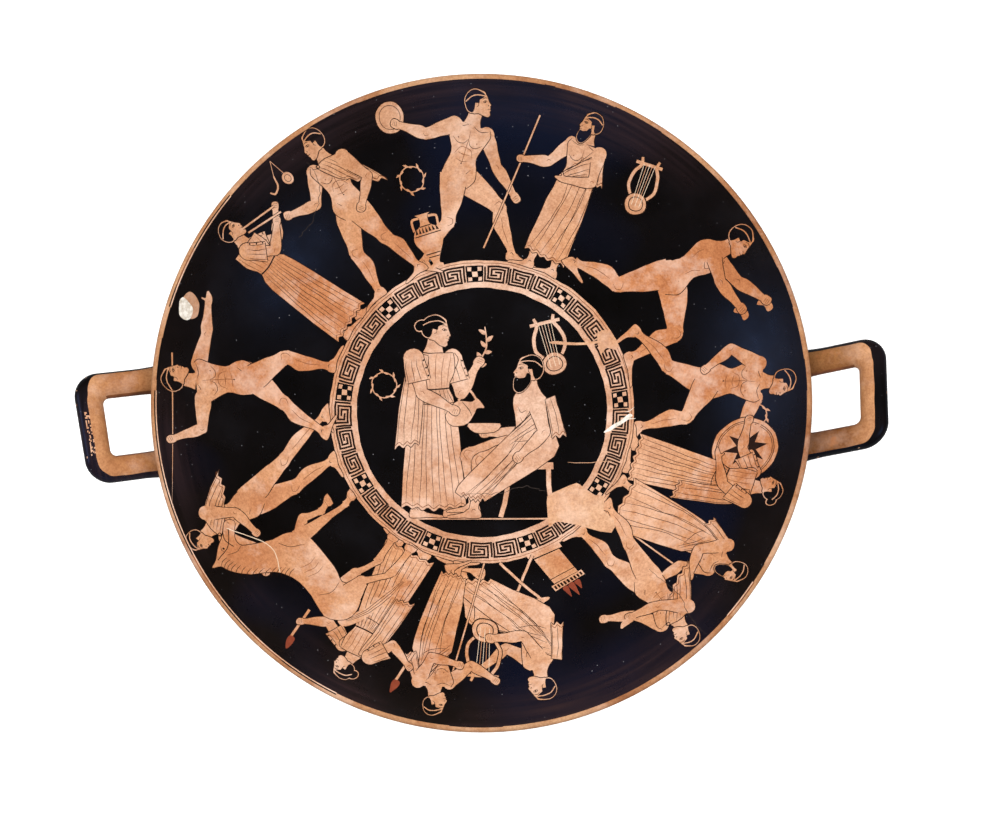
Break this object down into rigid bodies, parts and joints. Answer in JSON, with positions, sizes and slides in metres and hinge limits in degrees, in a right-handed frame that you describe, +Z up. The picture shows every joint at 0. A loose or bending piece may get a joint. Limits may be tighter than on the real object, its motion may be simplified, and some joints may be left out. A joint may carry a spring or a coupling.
{
  "type": "greek kylix cup",
  "caption": "Wide, shallow stemmed drinking cup of black-glazed, painted clay, with a disc foot and two horizontal loop handles.",
  "frame": {"origin": "centre of the foot's resting plane, on the axis of the bowl, stem and foot", "axes": "+Z up along the cup's axis, X from handle to handle, the pictured lower edge of the rim towards -Y"},
  "size_m": [0.4065, 0.33, 0.127],
  "materials": {
    "black_gloss": "black gloss slip over orange clay, with the painted figures reserved in the clay's colour"
  },
  "bodies": {
    "root": {"kylix": "black_gloss"}
  },
  "joints": []
}
